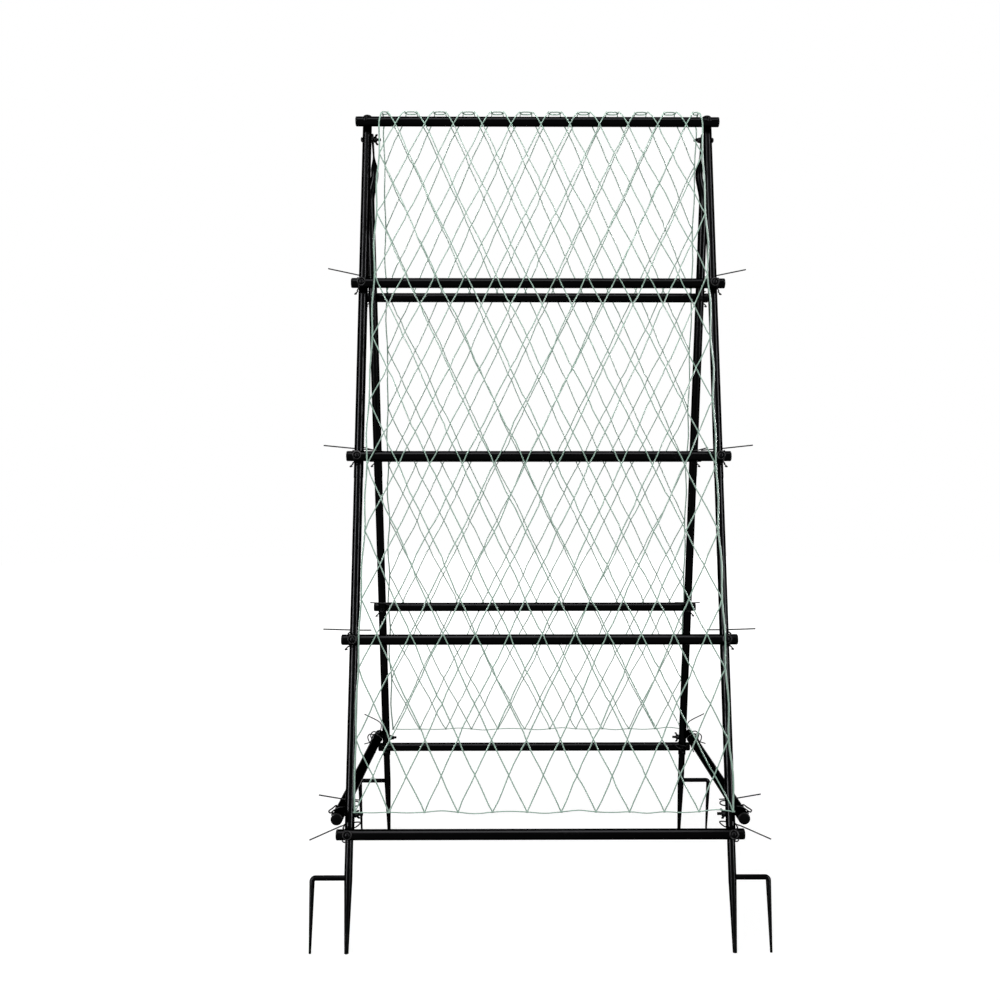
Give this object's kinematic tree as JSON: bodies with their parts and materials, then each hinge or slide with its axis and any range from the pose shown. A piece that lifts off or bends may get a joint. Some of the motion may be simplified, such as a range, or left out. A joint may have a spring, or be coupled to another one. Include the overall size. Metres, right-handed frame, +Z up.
{
  "type": "a-frame trellis",
  "caption": "Folding A-frame garden trellis: ladder panels of black tube hinged under a ridge bar, with side braces, forked stake feet and a diamond net.",
  "frame": {"origin": "on the ground, in the middle of the four stake tips", "axes": "+Z up, front panel towards -Y, crossbars along X with left at -X, metres"},
  "size_m": [0.6786, 0.553, 1.2925],
  "materials": {
    "black_paint": "gloss black powder coat on steel tube",
    "fastener_steel": "dark plated steel bolts and wing nuts",
    "net_cord": "pale mint polyethylene cord"
  },
  "bodies": {
    "front_frame": {"front_left_upper_upright": "black_paint", "front_left_lower_upright": "black_paint", "front_left_stake_foot": "black_paint", "front_right_upper_upright": "black_paint", "front_right_lower_upright": "black_paint", "front_right_stake_foot": "black_paint", "ridge_bar": "black_paint", "ridge_bar_left_bolt": "fastener_steel", "ridge_bar_right_bolt": "fastener_steel", "front_crossbar_2": "black_paint", "front_crossbar_2_left_bolt": "fastener_steel", "front_crossbar_2_right_bolt": "fastener_steel", "front_crossbar_3": "black_paint", "front_crossbar_3_left_bolt": "fastener_steel", "front_crossbar_3_right_bolt": "fastener_steel", "front_crossbar_4": "black_paint", "front_crossbar_4_left_bolt": "fastener_steel", "front_crossbar_4_right_bolt": "fastener_steel", "front_crossbar_5": "black_paint", "front_crossbar_5_left_bolt": "fastener_steel", "front_crossbar_5_right_bolt": "fastener_steel", "front_net": "net_cord", "ridge_net": "net_cord", "left_ridge_bolt": "fastener_steel", "left_brace_front_bolt": "fastener_steel", "right_ridge_bolt": "fastener_steel", "right_brace_front_bolt": "fastener_steel"},
    "back_frame": {"back_left_upper_upright": "black_paint", "back_left_lower_upright": "black_paint", "back_left_stake_foot": "black_paint", "back_right_upper_upright": "black_paint", "back_right_lower_upright": "black_paint", "back_right_stake_foot": "black_paint", "back_crossbar_2": "black_paint", "back_crossbar_2_left_bolt": "fastener_steel", "back_crossbar_2_right_bolt": "fastener_steel", "back_crossbar_3": "black_paint", "back_crossbar_3_left_bolt": "fastener_steel", "back_crossbar_3_right_bolt": "fastener_steel", "back_crossbar_4": "black_paint", "back_crossbar_4_left_bolt": "fastener_steel", "back_crossbar_4_right_bolt": "fastener_steel", "back_crossbar_5": "black_paint", "back_crossbar_5_left_bolt": "fastener_steel", "back_crossbar_5_right_bolt": "fastener_steel", "back_net": "net_cord", "left_brace_rear_bolt_end": "fastener_steel", "right_brace_rear_bolt_end": "fastener_steel"},
    "left_brace": {"left_brace": "black_paint", "left_brace_rear_bolt": "fastener_steel"},
    "right_brace": {"right_brace": "black_paint", "right_brace_rear_bolt": "fastener_steel"},
    "left_ridge_wing_nut": {"left_ridge_wing_nut": "fastener_steel"},
    "left_brace_front_wing_nut": {"left_brace_front_wing_nut": "fastener_steel"},
    "left_brace_rear_wing_nut": {"left_brace_rear_wing_nut": "fastener_steel"},
    "right_ridge_wing_nut": {"right_ridge_wing_nut": "fastener_steel"},
    "right_brace_front_wing_nut": {"right_brace_front_wing_nut": "fastener_steel"},
    "right_brace_rear_wing_nut": {"right_brace_rear_wing_nut": "fastener_steel"}
  },
  "joints": [
    {"name": "ridge_fold", "type": "hinge", "parent": "front_frame", "child": "back_frame", "pos_m": [0, -0.0079, 1.24863], "axis": [1, 0, 0], "range_deg": [-20, 0]},
    {"name": "left_brace_swing", "type": "hinge", "parent": "front_frame", "child": "left_brace", "pos_m": [-0.2825, -0.23271, 0.191], "axis": [1, 0, 0], "range_deg": [0, 15]},
    {"name": "right_brace_swing", "type": "hinge", "parent": "front_frame", "child": "right_brace", "pos_m": [0.2825, -0.23271, 0.191], "axis": [1, 0, 0], "range_deg": [0, 15]},
    {"name": "left_ridge_wing_nut_turn", "type": "hinge", "parent": "front_frame", "child": "left_ridge_wing_nut", "pos_m": [-0.27, -0.0079, 1.24863], "axis": [1, 0, 0], "continuous": true},
    {"name": "left_brace_front_wing_nut_turn", "type": "hinge", "parent": "front_frame", "child": "left_brace_front_wing_nut", "pos_m": [-0.27, -0.23271, 0.191], "axis": [1, 0, 0], "continuous": true},
    {"name": "left_brace_rear_wing_nut_turn", "type": "hinge", "parent": "back_frame", "child": "left_brace_rear_wing_nut", "pos_m": [-0.27, 0.23271, 0.191], "axis": [1, 0, 0], "continuous": true},
    {"name": "right_ridge_wing_nut_turn", "type": "hinge", "parent": "front_frame", "child": "right_ridge_wing_nut", "pos_m": [0.27, -0.0079, 1.24863], "axis": [1, 0, 0], "continuous": true},
    {"name": "right_brace_front_wing_nut_turn", "type": "hinge", "parent": "front_frame", "child": "right_brace_front_wing_nut", "pos_m": [0.27, -0.23271, 0.191], "axis": [1, 0, 0], "continuous": true},
    {"name": "right_brace_rear_wing_nut_turn", "type": "hinge", "parent": "back_frame", "child": "right_brace_rear_wing_nut", "pos_m": [0.27, 0.23271, 0.191], "axis": [1, 0, 0], "continuous": true}
  ],
  "couplings": [
    {"joint": "left_brace_swing", "follows": "ridge_fold", "ratio": -0.75},
    {"joint": "right_brace_swing", "follows": "ridge_fold", "ratio": -0.75}
  ]
}
